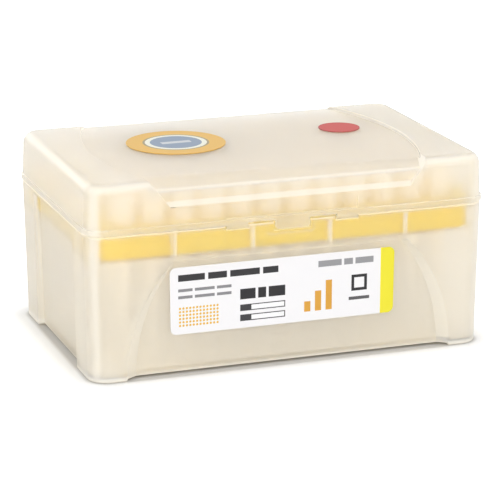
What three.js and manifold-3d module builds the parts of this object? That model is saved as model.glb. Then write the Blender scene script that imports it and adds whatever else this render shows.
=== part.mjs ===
// A hinged box of 96 filter pipette tips: a tapered tub, a snap lid on two moulded hinges,
// a tray that holds the tips on a 9 mm grid, a front label, a round sticker and a dot.
// Millimetres, +Z up. The origin is on the floor under the middle of the box; the label
// side faces -Y and the hinges are at +Y.

import * as THREE from 'three';
import { mergeVertices } from 'three/addons/utils/BufferGeometryUtils.js';
import Module from 'manifold-3d';

const wasm = await Module();
wasm.setup();

// ---------------------------------------------------------------- driving dimensions

// Tips and the grid they stand on. The box is built around them.
const TIP_PITCH = 9;
const TIP_COLUMNS = 12;
const TIP_ROWS = 8;
const TIP_LENGTH = 51;
const TIP_HEAD = 9;               // height of the wide head that stands on the tray
const TIP_HEAD_RADIUS = 3.6;
const TIP_MOUTH_RADIUS = 2.6;
const TIP_BODY_RADIUS = 2.75;
const TIP_END_RADIUS = 0.7;
const FILTER_DEPTH = 8;           // mouth to the top of the filter plug
const FILTER_RADIUS = 2.2;
const TIP_FLOOR_GAP = 1.4;        // free height under the tips
const TIP_HEADROOM = 2.1;         // free height over them, under the lid's panel

// Tray
const TRAY_PLATE = 1.6;
const TRAY_WALL = 1.2;
const TRAY_CORNER = 4.5;
const TRAY_CLEARANCE = 0.4;
const SEAT_GAP = 0.02;

// Tub
const END_MARGIN = 11.8;          // outer columns to the end faces, on the floor
const SIDE_MARGIN = 7.7;          // outer rows to the long faces, on the floor
const LENGTH_TAPER = 1.5;         // how much longer the tub is at its rim
const DEPTH_TAPER = 0.7;          // how much deeper it is at its rim
const CORNER_RADIUS = 6;
const BASE_WALL = 1.4;
const FOOT_HEIGHT = 0.8;          // the four corner feet below the floor panel
const FOOT_LENGTH = 10.5;         // along X
const FOOT_WIDTH = 17.2;          // along Y
const FLANGE_HEIGHT = 1.2;        // thick band under the parting line
const RIM_CHAMFER = 0.4;
const COLLAR_HEIGHT = 1.5;        // upstand that centres the lid, level with the tray
const COLLAR_WALL = 1;

// Arched recess in the front and back walls
const ARCH_DEPTH = 2.2;
const ARCH_BELOW_RIM = 9.1;       // parting line to the top of the recess
const ARCH_FLARE = 3.2;           // how far its sides slope out, on the floor
const ARCH_MOUTH_RADIUS = 49;     // of its outline in the outer face
const ARCH_FIELD_RADIUS = 54;     // of its outline in the recess's own face

// Straight recess in the end walls
const END_RECESS_DEPTH = 1.8;
const END_RECESS_SLOPE = 0.8;

// Ribs that steady the tray against the front and back walls
const RIB_COUNT = 4;              // on each wall
const RIB_SPACING = 24;
const RIB_WIDTH = 0.9;
const RIB_DEPTH = 0.8;

// Lid
const LID_TAPER = 1;              // how much the lid narrows to its top
const LID_WALL = 1.3;
const LID_EDGE_RADIUS = 3;
const PARTING_GAP = 0.3;
const LIP_HEIGHT = 1.6;
const LIP_STEP = 0.4;             // how far the lip stands out from the wall
const PANEL_DROP = 1;             // the middle of the top lies lower than the shoulders
const SHOULDER_LENGTH = 13.05;    // length of each end shoulder on the centre line
const PANEL_RADIUS = 95;          // the curved ends of the panel between them

// Sloping cut along the lid's front edge
const BROW_BACK = 7.3;            // where the slope starts, behind the front face
const BROW_SET = 1.8;             // how far its wall stands behind the front face
const BROW_DROP = 1.8;            // fall of the slope
const BROW_WALL_HEIGHT = 3.6;
const BROW_SILL = 1.5;            // height of the sloped sill under that wall
const BROW_INSET = 6.5;           // its upper ends, in from the ends of the panel
const BROW_SPLAY = 5.3;           // how much further in its ends are at the sill

// Snap at the front of the lid
const TONGUE_WIDTH = 10.6;
const TONGUE_DROP = 2.1;          // below the parting line
const TONGUE_WALL = 0.9;
const TONGUE_ROUND = 1.2;
const TAB_WIDTH = 6.6;
const TAB_DROP = 0.8;
const TAB_WALL = 0.8;
const TAB_SPACING = 8.5;          // free width between the tongue and each tab
const FINGER_GAP = 0.5;           // lid edge raised between tongue and tabs
const GRIP_DEPTH = 0.5;
const GRIP_RISE = 2.2;            // parting line to the shallow grip
const GRIP_HEIGHT = 3.6;
const SNAP_CLEARANCE = 0.4;
const CATCH_WIDTH = 8;
const CATCH_HEIGHT = 0.6;
const CATCH_DEPTH = 0.25;

// Hinges
const HINGE_SPACING = 64;         // between the two knuckles
const KNUCKLE_LENGTH = 14.4;
const KNUCKLE_RADIUS = 1.6;
const PEG_RADIUS = 0.9;
const PEG_LENGTH = 2;
const PEG_CLEARANCE = 0.1;
const HINGE_DROP = 1.4;           // axis below the parting line
const HINGE_CLEARANCE = 0.3;
const HINGE_SWEEP = 0.7;          // room under the knuckle for the lip as the lid swings
const HINGE_WALL = 1.2;

// Label and stickers
const LABEL_HEIGHT = 20.4;
const LABEL_BELOW_ARCH = 2.5;     // top of the recess to the label
const LABEL_LEFT_MARGIN = 1.2;    // to the recess's side, where the upper corners start
const LABEL_RIGHT_MARGIN = 5;
const LABEL_CORNER = 1.8;
const PAPER = 0.2;
const GLUE_GAP = 0.05;
const STICKER_RADIUS = 15.3;
const STICKER_CENTRE = [-20, 9.2];
const DOT_RADIUS = 6.5;
const DOT_CENTRE = [34.5, 11.5];

// Facets and cutting margin
const CORNER_STEPS = 6;
const EDGE_STEPS = 4;
const ARCH_STEPS = 10;
const PANEL_STEPS = 20;
const ROUND_STEPS = 48;
const PEG_STEPS = 20;
const TIP_STEPS = 8;
const SPARE = 1;                  // how far a cutting shape runs past the face it cuts
const WELD = 1e-4;                // vertices closer than this are one

// Colours and finishes
const NATURAL_PLASTIC = { color: 0xe9e3d6, roughness: 0.42, metalness: 0 };
const TRAY_PLASTIC = { color: 0xf3cf3f, roughness: 0.45, metalness: 0 };
const LABEL_PAPER = { color: 0xf6f6f8, roughness: 0.6, metalness: 0 };
const ORANGE_PAPER = { color: 0xe8b54a, roughness: 0.5, metalness: 0 };
const RED_PAPER = { color: 0xc8464b, roughness: 0.5, metalness: 0 };

// ---------------------------------------------------------------- sizes that follow

// Heights
const FLOOR_TOP = FOOT_HEIGHT + BASE_WALL;
const TIP_BOTTOM = FLOOR_TOP + TIP_FLOOR_GAP;
const TIP_TOP = TIP_BOTTOM + TIP_LENGTH;
const TRAY_TOP = TIP_TOP - TIP_HEAD;
const PLATE_BOTTOM = TRAY_TOP - TRAY_PLATE;
const RIM_HEIGHT = TRAY_TOP - COLLAR_HEIGHT;
const FLANGE_BOTTOM = RIM_HEIGHT - FLANGE_HEIGHT;
const ARCH_TOP = RIM_HEIGHT - ARCH_BELOW_RIM;
const LEDGE_TOP = ARCH_TOP + BASE_WALL;
const LID_BOTTOM = RIM_HEIGHT + PARTING_GAP;
const PANEL_TOP = TIP_TOP + TIP_HEADROOM + LID_WALL;
const LID_TOP = PANEL_TOP + PANEL_DROP;
const LID_HEIGHT = LID_TOP - RIM_HEIGHT;

// Lengths and depths
const BASE_LENGTH = (TIP_COLUMNS - 1) * TIP_PITCH + 2 * END_MARGIN;
const BASE_DEPTH = (TIP_ROWS - 1) * TIP_PITCH + 2 * SIDE_MARGIN;
const RIM_LENGTH = BASE_LENGTH + LENGTH_TAPER;
const RIM_DEPTH = BASE_DEPTH + DEPTH_TAPER;
const ARCH_MOUTH_HALF = BASE_LENGTH / 2 - FOOT_LENGTH;
const ARCH_FIELD_HALF = ARCH_MOUTH_HALF - ARCH_FLARE;
const END_RECESS_HALF = BASE_DEPTH / 2 - FOOT_WIDTH;
const COLLAR_INSET = LID_WALL + HINGE_CLEARANCE;
const MOUTH_INSET = COLLAR_INSET + COLLAR_WALL;
const PANEL_HALF = RIM_LENGTH / 2 - SHOULDER_LENGTH;
const BROW_TOP_HALF = PANEL_HALF - BROW_INSET;
const BROW_BOTTOM_HALF = BROW_TOP_HALF - BROW_SPLAY;
const LID_FRONT = -RIM_DEPTH / 2;
const LIP_FRONT = LID_FRONT - LIP_STEP;
const TAB_INNER_HALF = TONGUE_WIDTH / 2 + TAB_SPACING;
const TAB_OUTER_HALF = TAB_INNER_HALF + TAB_WIDTH;

// Hinge axis and the pocket around a knuckle
const HINGE_Y = RIM_DEPTH / 2 + LIP_STEP - KNUCKLE_RADIUS;
const HINGE_Z = RIM_HEIGHT - HINGE_DROP;
const HINGE_POCKET_HALF = KNUCKLE_LENGTH / 2 + HINGE_CLEARANCE;
const HINGE_POCKET_Y = HINGE_Y - KNUCKLE_RADIUS - HINGE_CLEARANCE;
const HINGE_POCKET_Z = HINGE_Z - KNUCKLE_RADIUS - HINGE_SWEEP;

// ---------------------------------------------------------------- helpers

// Turns a closed three.js geometry into a solid that can be joined and cut.
function solid(geometry) {
  const bare = geometry.index ? geometry.toNonIndexed() : geometry.clone();
  bare.deleteAttribute('normal');
  bare.deleteAttribute('uv');
  const merged = mergeVertices(bare, WELD);
  const vertProperties = new Float32Array(merged.attributes.position.array);
  const triVerts = new Uint32Array(merged.index.array);
  return new wasm.Manifold(new wasm.Mesh({ numProp: 3, vertProperties, triVerts }));
}

// Turns a solid back into a named mesh with its finish.
function part(name, body, finish) {
  const { vertProperties, triVerts } = body.getMesh();
  const geometry = new THREE.BufferGeometry();
  geometry.setAttribute('position', new THREE.BufferAttribute(vertProperties, 3));
  geometry.setIndex(new THREE.BufferAttribute(triVerts, 1));
  geometry.computeVertexNormals();
  const mesh = new THREE.Mesh(geometry, new THREE.MeshStandardMaterial(finish));
  mesh.name = name;
  return mesh;
}

// A rounded rectangle centred on the origin.
function roundedRectangle(length, depth, radius) {
  const x = length / 2 - radius;
  const y = depth / 2 - radius;
  const shape = new THREE.Shape();
  shape.absarc(x, -y, radius, -Math.PI / 2, 0);
  shape.absarc(x, y, radius, 0, Math.PI / 2);
  shape.absarc(-x, y, radius, Math.PI / 2, Math.PI);
  shape.absarc(-x, -y, radius, Math.PI, 1.5 * Math.PI);
  shape.closePath();
  return shape;
}

// A straight prism of a shape in X and Y.
function prism(shape, bottom, top, steps = CORNER_STEPS) {
  const options = { depth: top - bottom, bevelEnabled: false, curveSegments: steps };
  return new THREE.ExtrudeGeometry(shape, options).translate(0, 0, bottom);
}

// A prism whose lower and upper edges are cut back or rounded by one size.
function edgedPrism(shape, bottom, top, edge, edgeSteps) {
  const options = {
    depth: top - bottom - 2 * edge,
    bevelThickness: edge,
    bevelSize: edge,
    bevelOffset: -edge,
    bevelSegments: edgeSteps,
    curveSegments: CORNER_STEPS,
  };
  return new THREE.ExtrudeGeometry(shape, options).translate(0, 0, bottom + edge);
}

// A box given by its lowest and highest corners.
function boxBetween([x0, y0, z0], [x1, y1, z1]) {
  const box = new THREE.BoxGeometry(x1 - x0, y1 - y0, z1 - z0);
  return solid(box.translate((x0 + x1) / 2, (y0 + y1) / 2, (z0 + z1) / 2));
}

// A polygon in Y and Z carried along X from -half to +half.
function profileAlongX(points, half) {
  const shape = new THREE.Shape(points.map(([y, z]) => new THREE.Vector2(y, z)));
  const run = new THREE.ExtrudeGeometry(shape, { depth: 2 * half, bevelEnabled: false });
  const axes = new THREE.Matrix4().makeBasis(
    new THREE.Vector3(0, 1, 0),
    new THREE.Vector3(0, 0, 1),
    new THREE.Vector3(1, 0, 0),
  );
  return solid(run.applyMatrix4(axes).translate(-half, 0, 0));
}

// A shape in X and Z carried along Y from front to back.
function shapeAlongY(shape, front, back) {
  const options = { depth: back - front, bevelEnabled: false, curveSegments: CORNER_STEPS };
  return new THREE.ExtrudeGeometry(shape, options).rotateX(Math.PI / 2).translate(0, back, 0);
}

// A cylinder along X.
function rodAlongX(radius, x0, x1, y, z) {
  const rod = new THREE.CylinderGeometry(radius, radius, x1 - x0, PEG_STEPS);
  return solid(rod.rotateZ(Math.PI / 2).translate((x0 + x1) / 2, y, z));
}

// Moves every vertex of a geometry by a rule.
function reshape(geometry, rule) {
  const place = geometry.attributes.position;
  const point = new THREE.Vector3();
  for (let i = 0; i < place.count; i += 1) {
    rule(point.fromBufferAttribute(place, i));
    place.setXYZ(i, point.x, point.y, point.z);
  }
  return geometry;
}

// The tub's draft: it widens steadily from the floor to the rim.
function draftBase(geometry) {
  return reshape(geometry, (p) => {
    p.x *= 1 + (LENGTH_TAPER / BASE_LENGTH) * (p.z / RIM_HEIGHT);
    p.y *= 1 + (DEPTH_TAPER / BASE_DEPTH) * (p.z / RIM_HEIGHT);
  });
}

// The lid's draft: it narrows steadily from the parting line to its top.
function draftLid(geometry) {
  return reshape(geometry, (p) => {
    const rise = (p.z - RIM_HEIGHT) / LID_HEIGHT;
    p.x *= 1 - (LID_TAPER / RIM_LENGTH) * rise;
    p.y *= 1 - (LID_TAPER / RIM_DEPTH) * rise;
  });
}

function bothEnds(body) {
  return body.add(body.mirror([1, 0, 0]));
}

// What of a body lies above a height.
function keepAbove(body, height) {
  const far = RIM_LENGTH;
  return body.subtract(boxBetween([-far, -far, -far], [far, far, height]));
}

// ---------------------------------------------------------------- tub

// Half width of an arch at a height: it stands upright on the floor and closes inwards.
function archHalf(footHalf, radius, z) {
  return footHalf - radius + Math.sqrt(radius ** 2 - z ** 2);
}

// The body of the arched recess in the front wall, with sloping sides. grow thickens it
// for the inside of the wall.
function archBody(grow) {
  const field = -BASE_DEPTH / 2 + ARCH_DEPTH + grow;
  const face = field - ARCH_DEPTH - SPARE;
  const top = ARCH_TOP + grow;
  const step = (top + SPARE) / ARCH_STEPS;
  const heights = Array.from({ length: ARCH_STEPS + 1 }, (_, i) => i * step - SPARE);
  const atField = heights.map((z) => archHalf(ARCH_FIELD_HALF + grow, ARCH_FIELD_RADIUS, z));
  const atMouth = heights.map((z) => archHalf(ARCH_MOUTH_HALF + grow, ARCH_MOUTH_RADIUS, z));
  const right = heights.map((z, i) => new THREE.Vector2(atField[i], z));
  const left = right.map((p) => new THREE.Vector2(-p.x, p.y)).reverse();
  const run = shapeAlongY(new THREE.Shape([...right, ...left]), face, field);
  reshape(run, (p) => {
    const row = Math.round((p.z + SPARE) / step);
    const flare = ((atMouth[row] - atField[row]) * (field - p.y)) / ARCH_DEPTH;
    p.x += Math.sign(p.x) * flare;
  });
  return solid(draftBase(run));
}

// The body of the straight recess in the right end wall.
function endRecessBody(grow) {
  const field = BASE_LENGTH / 2 - END_RECESS_DEPTH - grow;
  const face = BASE_LENGTH / 2 + SPARE;
  const half = END_RECESS_HALF + grow;
  const slope = (END_RECESS_SLOPE * SPARE) / END_RECESS_DEPTH;
  const shape = new THREE.Shape([
    new THREE.Vector2(field, -half + END_RECESS_SLOPE),
    new THREE.Vector2(face, -half - slope),
    new THREE.Vector2(face, half + slope),
    new THREE.Vector2(field, half - END_RECESS_SLOPE),
  ]);
  return solid(draftBase(prism(shape, -SPARE, FLANGE_BOTTOM + grow)));
}

function recesses(grow) {
  const arch = archBody(grow);
  const end = endRecessBody(grow);
  return arch.add(arch.mirror([0, 1, 0])).add(bothEnds(end));
}

// The cross between the four feet, up to a height.
function footCross(grow, top) {
  const far = BASE_LENGTH;
  const across = [ARCH_MOUTH_HALF + grow, far, top];
  const along = [far, END_RECESS_HALF + grow, top];
  const low = (corner) => [-corner[0], -corner[1], -SPARE];
  return boxBetween(low(across), across).add(boxBetween(low(along), along));
}

function tubInside() {
  const length = BASE_LENGTH - 2 * BASE_WALL;
  const depth = BASE_DEPTH - 2 * BASE_WALL;
  const outline = roundedRectangle(length, depth, CORNER_RADIUS - BASE_WALL);
  const inside = solid(draftBase(prism(outline, BASE_WALL, FLANGE_BOTTOM)))
    .subtract(recesses(BASE_WALL))
    .subtract(footCross(BASE_WALL, FLOOR_TOP));
  const mouthLength = RIM_LENGTH - 2 * MOUTH_INSET;
  const mouthDepth = RIM_DEPTH - 2 * MOUTH_INSET;
  const mouth = roundedRectangle(mouthLength, mouthDepth, CORNER_RADIUS - MOUTH_INSET);
  return inside.add(solid(prism(mouth, FLANGE_BOTTOM - SPARE, LID_TOP)));
}

// The upstand inside the lid.
function centringCollar() {
  const length = RIM_LENGTH - 2 * COLLAR_INSET;
  const depth = RIM_DEPTH - 2 * COLLAR_INSET;
  const outline = roundedRectangle(length, depth, CORNER_RADIUS - COLLAR_INSET);
  return solid(prism(outline, FLANGE_BOTTOM, RIM_HEIGHT + COLLAR_HEIGHT));
}

// One hinge seat: a pocket in the back wall with a peg in each side.
function hingeSeat(x) {
  const half = HINGE_POCKET_HALF;
  const outer = half + HINGE_WALL;
  const back = RIM_DEPTH / 2;
  const block = boxBetween(
    [x - outer, HINGE_POCKET_Y - HINGE_WALL, HINGE_POCKET_Z - HINGE_WALL],
    [x + outer, back - BASE_WALL / 2, PLATE_BOTTOM - TRAY_CLEARANCE],
  );
  const pocket = boxBetween(
    [x - half, HINGE_POCKET_Y, HINGE_POCKET_Z],
    [x + half, back + SPARE, RIM_HEIGHT + COLLAR_HEIGHT + SPARE],
  );
  const left = rodAlongX(PEG_RADIUS, x - outer, x - half + PEG_LENGTH, HINGE_Y, HINGE_Z);
  const right = rodAlongX(PEG_RADIUS, x + half - PEG_LENGTH, x + outer, HINGE_Y, HINGE_Z);
  return { block, pocket, pegs: left.add(right) };
}

// Seat for the lid's tongue and tabs in the front of the rim.
function snapSeat() {
  const tongueHalf = TONGUE_WIDTH / 2 + SNAP_CLEARANCE;
  const tongueFloor = LIP_FRONT + TONGUE_WALL + SNAP_CLEARANCE;
  const tongueBottom = RIM_HEIGHT - TONGUE_DROP - SNAP_CLEARANCE;
  const pocket = boxBetween(
    [-tongueHalf, LIP_FRONT - SPARE, tongueBottom],
    [tongueHalf, tongueFloor, RIM_HEIGHT + SPARE],
  );
  const backing = boxBetween(
    [-tongueHalf - BASE_WALL, LID_FRONT + BASE_WALL / 2, tongueBottom - BASE_WALL],
    [tongueHalf + BASE_WALL, tongueFloor + BASE_WALL, RIM_HEIGHT],
  );
  const catchBottom = tongueBottom + SNAP_CLEARANCE;
  const catchRidge = boxBetween(
    [-CATCH_WIDTH / 2, tongueFloor - CATCH_DEPTH, catchBottom],
    [CATCH_WIDTH / 2, tongueFloor + BASE_WALL / 2, catchBottom + CATCH_HEIGHT],
  );
  const tabFloor = LIP_FRONT + TAB_WALL + SNAP_CLEARANCE;
  const tabBottom = RIM_HEIGHT - TAB_DROP - SNAP_CLEARANCE;
  const tabSeat = boxBetween(
    [TAB_INNER_HALF - SNAP_CLEARANCE, LIP_FRONT - SPARE, tabBottom],
    [TAB_OUTER_HALF + SNAP_CLEARANCE, tabFloor, RIM_HEIGHT + SPARE],
  );
  return { pocket: pocket.add(bothEnds(tabSeat)), backing, catchRidge };
}

// Upright ribs inside the front and back walls, above the arch. Each is rooted in the wall.
function steadyRibs() {
  const root = -BASE_DEPTH / 2 + BASE_WALL / 2;
  const depth = BASE_WALL / 2 + RIB_DEPTH;
  const height = FLANGE_BOTTOM - ARCH_TOP;
  const places = Array.from({ length: RIB_COUNT }, (_, i) => i - (RIB_COUNT - 1) / 2);
  const ribs = places.map((place) => {
    const rib = new THREE.BoxGeometry(RIB_WIDTH, depth, height);
    rib.translate(place * RIB_SPACING, root + depth / 2, ARCH_TOP + height / 2);
    return solid(draftBase(rib));
  });
  const front = ribs.reduce((all, rib) => all.add(rib));
  return front.add(front.mirror([0, 1, 0]));
}

function makeBase() {
  const outline = roundedRectangle(BASE_LENGTH, BASE_DEPTH, CORNER_RADIUS);
  const block = edgedPrism(outline, -RIM_CHAMFER, RIM_HEIGHT, RIM_CHAMFER, 1);
  const seats = [-HINGE_SPACING / 2, HINGE_SPACING / 2].map(hingeSeat);
  const snap = snapSeat();
  let body = keepAbove(solid(draftBase(block)), 0)
    .add(centringCollar())
    .subtract(recesses(0))
    .subtract(footCross(0, FOOT_HEIGHT))
    .subtract(tubInside())
    .add(steadyRibs())
    .add(snap.backing)
    .subtract(snap.pocket)
    .add(snap.catchRidge);
  for (const seat of seats) {
    body = body.add(seat.block).subtract(seat.pocket).add(seat.pegs);
  }
  return body;
}

// ---------------------------------------------------------------- lid

// The lid's closed outer form down to its parting face, or its inside when it is drawn in
// by the wall, which runs on below that face.
function lidForm(inset, bottom) {
  const length = RIM_LENGTH - 2 * inset;
  const depth = RIM_DEPTH - 2 * inset;
  const outline = roundedRectangle(length, depth, CORNER_RADIUS - inset);
  const edge = LID_EDGE_RADIUS - inset;
  const form = edgedPrism(outline, RIM_HEIGHT - LID_HEIGHT, LID_TOP - inset, edge, EDGE_STEPS);
  return keepAbove(solid(draftLid(form)), bottom)
    .subtract(panelBody(inset))
    .subtract(browBody(inset));
}

// What is taken off the top between its curved ends.
function panelBody(inset) {
  const half = PANEL_HALF + inset;
  const reach = RIM_DEPTH / 2 + SPARE;
  const turn = Math.asin(reach / PANEL_RADIUS);
  const centre = half - PANEL_RADIUS;
  const shape = new THREE.Shape();
  shape.absarc(centre, 0, PANEL_RADIUS, -turn, turn);
  shape.absarc(-centre, 0, PANEL_RADIUS, Math.PI - turn, Math.PI + turn);
  shape.closePath();
  return solid(prism(shape, PANEL_TOP - inset, LID_TOP + SPARE, PANEL_STEPS));
}

// The sloping cut along the front edge, between slanted ends.
function browBody(inset) {
  const slopeTop = PANEL_TOP - inset;
  const wallTop = slopeTop - BROW_DROP;
  const wallBottom = wallTop - BROW_WALL_HEIGHT;
  const sill = wallBottom - BROW_SILL;
  const front = LID_FRONT + inset;
  const section = [
    [front + BROW_BACK, slopeTop],
    [front + BROW_SET, wallTop],
    [front + BROW_SET, wallBottom],
    [front, sill],
    [front - BROW_BACK, sill],
    [front - BROW_BACK, LID_TOP + SPARE],
    [front + BROW_BACK, LID_TOP + SPARE],
  ];
  const low = BROW_BOTTOM_HALF + inset;
  const high = BROW_TOP_HALF + inset;
  const rise = (LID_TOP + SPARE - sill) / (slopeTop - sill);
  const top = low + (high - low) * rise;
  const ends = new THREE.Shape([
    new THREE.Vector2(-low, sill),
    new THREE.Vector2(low, sill),
    new THREE.Vector2(top, LID_TOP + SPARE),
    new THREE.Vector2(-top, LID_TOP + SPARE),
  ]);
  const between = solid(shapeAlongY(ends, front - BROW_BACK, front + BROW_BACK));
  return profileAlongX(section, RIM_LENGTH / 2).intersect(between);
}

// The band that stands out along the lid's lower edge.
function lidLip() {
  const outline = roundedRectangle(
    RIM_LENGTH + 2 * LIP_STEP,
    RIM_DEPTH + 2 * LIP_STEP,
    CORNER_RADIUS + LIP_STEP,
  );
  return solid(prism(outline, LID_BOTTOM, LID_BOTTOM + LIP_HEIGHT));
}

// The tongue and its two tabs, which hang over the front of the rim.
function snapTongue() {
  const half = TONGUE_WIDTH / 2;
  const top = LID_BOTTOM + LIP_HEIGHT / 2;
  const arcX = half - TONGUE_ROUND;
  const arcZ = RIM_HEIGHT - TONGUE_DROP + TONGUE_ROUND;
  const shape = new THREE.Shape();
  shape.moveTo(-half, top);
  shape.lineTo(-half, arcZ);
  shape.absarc(-arcX, arcZ, TONGUE_ROUND, Math.PI, 1.5 * Math.PI);
  shape.absarc(arcX, arcZ, TONGUE_ROUND, -Math.PI / 2, 0);
  shape.lineTo(half, top);
  shape.closePath();
  const tongue = solid(shapeAlongY(shape, LIP_FRONT, LIP_FRONT + TONGUE_WALL));
  const tab = boxBetween(
    [TAB_INNER_HALF, LIP_FRONT, RIM_HEIGHT - TAB_DROP],
    [TAB_OUTER_HALF, LIP_FRONT + TAB_WALL, top],
  );
  return tongue.add(bothEnds(tab));
}

// Openings cut in the lid's lower edge for fingers, and the shallow grip above them.
function snapCuts() {
  const gap = boxBetween(
    [TONGUE_WIDTH / 2, LIP_FRONT - SPARE, LID_BOTTOM - SPARE],
    [TAB_INNER_HALF, LID_FRONT + LID_WALL + SPARE, LID_BOTTOM + FINGER_GAP],
  );
  const grip = boxBetween(
    [-TAB_OUTER_HALF, LIP_FRONT - SPARE, RIM_HEIGHT + GRIP_RISE],
    [TAB_OUTER_HALF, LID_FRONT + GRIP_DEPTH, RIM_HEIGHT + GRIP_RISE + GRIP_HEIGHT],
  );
  return bothEnds(gap).add(grip);
}

// One hinge knuckle: a bored barrel on an arm from the lid's lower back edge.
function knuckle(x) {
  const half = KNUCKLE_LENGTH / 2;
  const outer = HINGE_Y + KNUCKLE_RADIUS;
  const barrel = rodAlongX(KNUCKLE_RADIUS, x - half, x + half, HINGE_Y, HINGE_Z);
  const arm = boxBetween(
    [x - half, RIM_DEPTH / 2 - LID_WALL, HINGE_Z],
    [x + half, outer, LID_BOTTOM + LIP_HEIGHT],
  );
  const bore = rodAlongX(
    PEG_RADIUS + PEG_CLEARANCE,
    x - half - SPARE,
    x + half + SPARE,
    HINGE_Y,
    HINGE_Z,
  );
  return barrel.add(arm).subtract(bore);
}

function makeLid() {
  return lidForm(0, LID_BOTTOM)
    .add(lidLip())
    .subtract(lidForm(LID_WALL, LID_BOTTOM - SPARE))
    .add(snapTongue())
    .subtract(snapCuts())
    .add(bothEnds(knuckle(HINGE_SPACING / 2)));
}

// ---------------------------------------------------------------- tray with its tips

// One tip with its blind mouth down to the filter plug, standing on the tray's plate.
function makeTip() {
  const seat = TRAY_TOP - TRAY_PLATE / 2;
  const profile = [
    [0, TIP_TOP - FILTER_DEPTH],
    [FILTER_RADIUS, TIP_TOP - FILTER_DEPTH],
    [TIP_MOUTH_RADIUS, TIP_TOP],
    [TIP_HEAD_RADIUS, TIP_TOP],
    [TIP_HEAD_RADIUS, seat],
    [TIP_BODY_RADIUS, seat],
    [TIP_END_RADIUS, TIP_BOTTOM],
    [0, TIP_BOTTOM],
  ];
  const points = profile.map(([r, z]) => new THREE.Vector2(r, z)).reverse();
  return solid(new THREE.LatheGeometry(points, TIP_STEPS).rotateX(Math.PI / 2));
}

// The tray rests on the ledge over the arches. Its skirt is cut away around the hinge seats.
function makeTray() {
  const draft = 1 + ((LENGTH_TAPER / BASE_LENGTH) * LEDGE_TOP) / RIM_HEIGHT;
  const endFace = (BASE_LENGTH / 2 - END_RECESS_DEPTH - BASE_WALL) * draft;
  const length = 2 * (endFace - TRAY_CLEARANCE);
  const depth = RIM_DEPTH - 2 * MOUTH_INSET - 2 * TRAY_CLEARANCE;
  const outer = roundedRectangle(length, depth, TRAY_CORNER);
  const innerRadius = TRAY_CORNER - TRAY_WALL;
  const inner = roundedRectangle(length - 2 * TRAY_WALL, depth - 2 * TRAY_WALL, innerRadius);
  const notchHalf = HINGE_POCKET_HALF + HINGE_WALL + TRAY_CLEARANCE;
  const notch = boxBetween(
    [HINGE_SPACING / 2 - notchHalf, HINGE_POCKET_Y - HINGE_WALL - TRAY_CLEARANCE, 0],
    [HINGE_SPACING / 2 + notchHalf, depth, PLATE_BOTTOM],
  );
  let body = solid(prism(outer, LEDGE_TOP + SEAT_GAP, TRAY_TOP))
    .subtract(solid(prism(inner, 0, PLATE_BOTTOM)))
    .subtract(bothEnds(notch));
  const tip = makeTip();
  for (let column = 0; column < TIP_COLUMNS; column += 1) {
    for (let row = 0; row < TIP_ROWS; row += 1) {
      const x = (column - (TIP_COLUMNS - 1) / 2) * TIP_PITCH;
      const y = (row - (TIP_ROWS - 1) / 2) * TIP_PITCH;
      body = body.add(tip.translate([x, y, 0]));
    }
  }
  return body;
}

// ---------------------------------------------------------------- label and stickers

// The paper label on the face of the front recess, which it follows.
function makeLabel() {
  const top = ARCH_TOP - LABEL_BELOW_ARCH;
  const recessHalf = archHalf(ARCH_FIELD_HALF, ARCH_FIELD_RADIUS, top - LABEL_CORNER);
  const left = -recessHalf + LABEL_LEFT_MARGIN;
  const right = recessHalf - LABEL_RIGHT_MARGIN;
  const outline = roundedRectangle(right - left, LABEL_HEIGHT, LABEL_CORNER);
  const back = -BASE_DEPTH / 2 + ARCH_DEPTH - GLUE_GAP;
  const sheet = shapeAlongY(outline, back - PAPER, back);
  sheet.translate((left + right) / 2, 0, top - LABEL_HEIGHT / 2);
  return solid(draftBase(sheet));
}

// A round sticker on the lid's panel.
function disc([x, y], radius) {
  const sheet = new THREE.CylinderGeometry(radius, radius, PAPER, ROUND_STEPS);
  return solid(sheet.rotateX(Math.PI / 2).translate(x, y, PANEL_TOP + GLUE_GAP + PAPER / 2));
}

// ---------------------------------------------------------------- the box of tips

const box = new THREE.Group();
box.add(part('base', makeBase(), NATURAL_PLASTIC));
box.add(part('lid', makeLid(), NATURAL_PLASTIC));
box.add(part('tip_tray', makeTray(), TRAY_PLASTIC));
box.add(part('front_label', makeLabel(), LABEL_PAPER));
box.add(part('lid_sticker', disc(STICKER_CENTRE, STICKER_RADIUS), ORANGE_PAPER));
box.add(part('lid_dot', disc(DOT_CENTRE, DOT_RADIUS), RED_PAPER));

export default box;
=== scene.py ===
# %% [markdown]
# # A box of filter pipette tips
#
# The object is a hinged laboratory box. A tub and a lid of natural polypropylene hold a yellow
# tray, and 96 tips hang in the tray on a 9 mm grid. A paper label is stuck to the front, and a
# round sticker and a red dot to the lid.
#
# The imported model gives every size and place. This script gives the finish: it rounds the edges
# of the two mouldings, builds the tray, the tips and their filters as they really are, prints
# the label and the sticker, and lights it all as a small product on a white table.

# %% Load the fixed model
import math
from functools import partial

import bmesh
import bpy
import numpy as np
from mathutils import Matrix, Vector
from mathutils.bvhtree import BVHTree


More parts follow.
